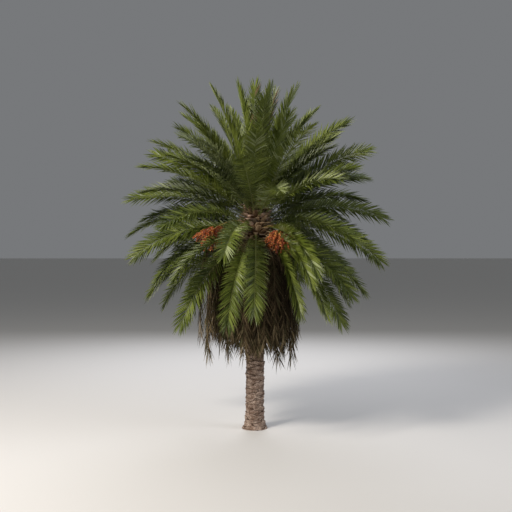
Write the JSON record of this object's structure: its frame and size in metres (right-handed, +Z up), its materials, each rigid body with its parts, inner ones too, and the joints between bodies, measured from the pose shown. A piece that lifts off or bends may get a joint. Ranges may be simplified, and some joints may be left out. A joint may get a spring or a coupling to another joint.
{
  "type": "date palm tree",
  "caption": "Date palm with a straight ringed trunk, a full round crown of arching fronds, hanging fruit bunches and a skirt of dead fronds, fixed at its flat foot.",
  "frame": {"origin": "centre of the flat cut under the trunk, at ground level", "axes": "+Z up along the trunk, -Y towards the front, where the fruit bunches show"},
  "size_m": [7.2294, 7.0358, 9.2582],
  "materials": {
    "bark": "rough palm bark ringed with old leaf scars",
    "leaf_bases": "stubs of old leaf stalks bound in brown fibre",
    "foliage": "satin green leaflets with a waxy bloom",
    "dead_foliage": "dull dry brown leaflets"
  },
  "bodies": {
    "root": {"trunk": "bark", "crown_heart": "leaf_bases", "frond_01": "foliage", "frond_02": "foliage", "frond_03": "foliage", "frond_04": "foliage", "frond_05": "foliage", "frond_06": "foliage", "frond_07": "foliage", "frond_08": "foliage", "frond_09": "foliage", "frond_10": "foliage", "frond_11": "foliage", "frond_12": "foliage", "frond_13": "foliage", "frond_14": "foliage", "frond_15": "foliage", "frond_16": "foliage", "frond_17": "foliage", "frond_18": "foliage", "frond_19": "foliage", "frond_20": "foliage", "frond_21": "foliage", "frond_22": "foliage", "frond_23": "foliage", "frond_24": "foliage", "frond_25": "foliage", "frond_26": "foliage", "frond_27": "foliage", "frond_28": "foliage", "frond_29": "foliage", "frond_30": "foliage", "frond_31": "foliage", "frond_32": "foliage", "frond_33": "foliage", "frond_34": "foliage", "frond_35": "foliage", "frond_36": "foliage", "frond_37": "foliage", "frond_38": "foliage", "frond_39": "foliage", "twin_fronds_01": "foliage", "twin_fronds_02": "foliage", "twin_fronds_03": "foliage", "twin_fronds_04": "foliage", "twin_fronds_05": "foliage", "twin_fronds_06": "foliage", "twin_fronds_07": "foliage", "twin_fronds_08": "foliage", "twin_fronds_09": "foliage", "twin_fronds_10": "foliage", "twin_fronds_11": "foliage", "twin_fronds_12": "foliage", "twin_fronds_13": "foliage", "dead_fronds_back": "dead_foliage", "dead_fronds_front": "dead_foliage", "dead_fronds_left_back": "dead_foliage", "dead_fronds_left_front": "dead_foliage", "dead_fronds_right_back": "dead_foliage", "dead_fronds_right_front": "dead_foliage"}
  },
  "joints": []
}
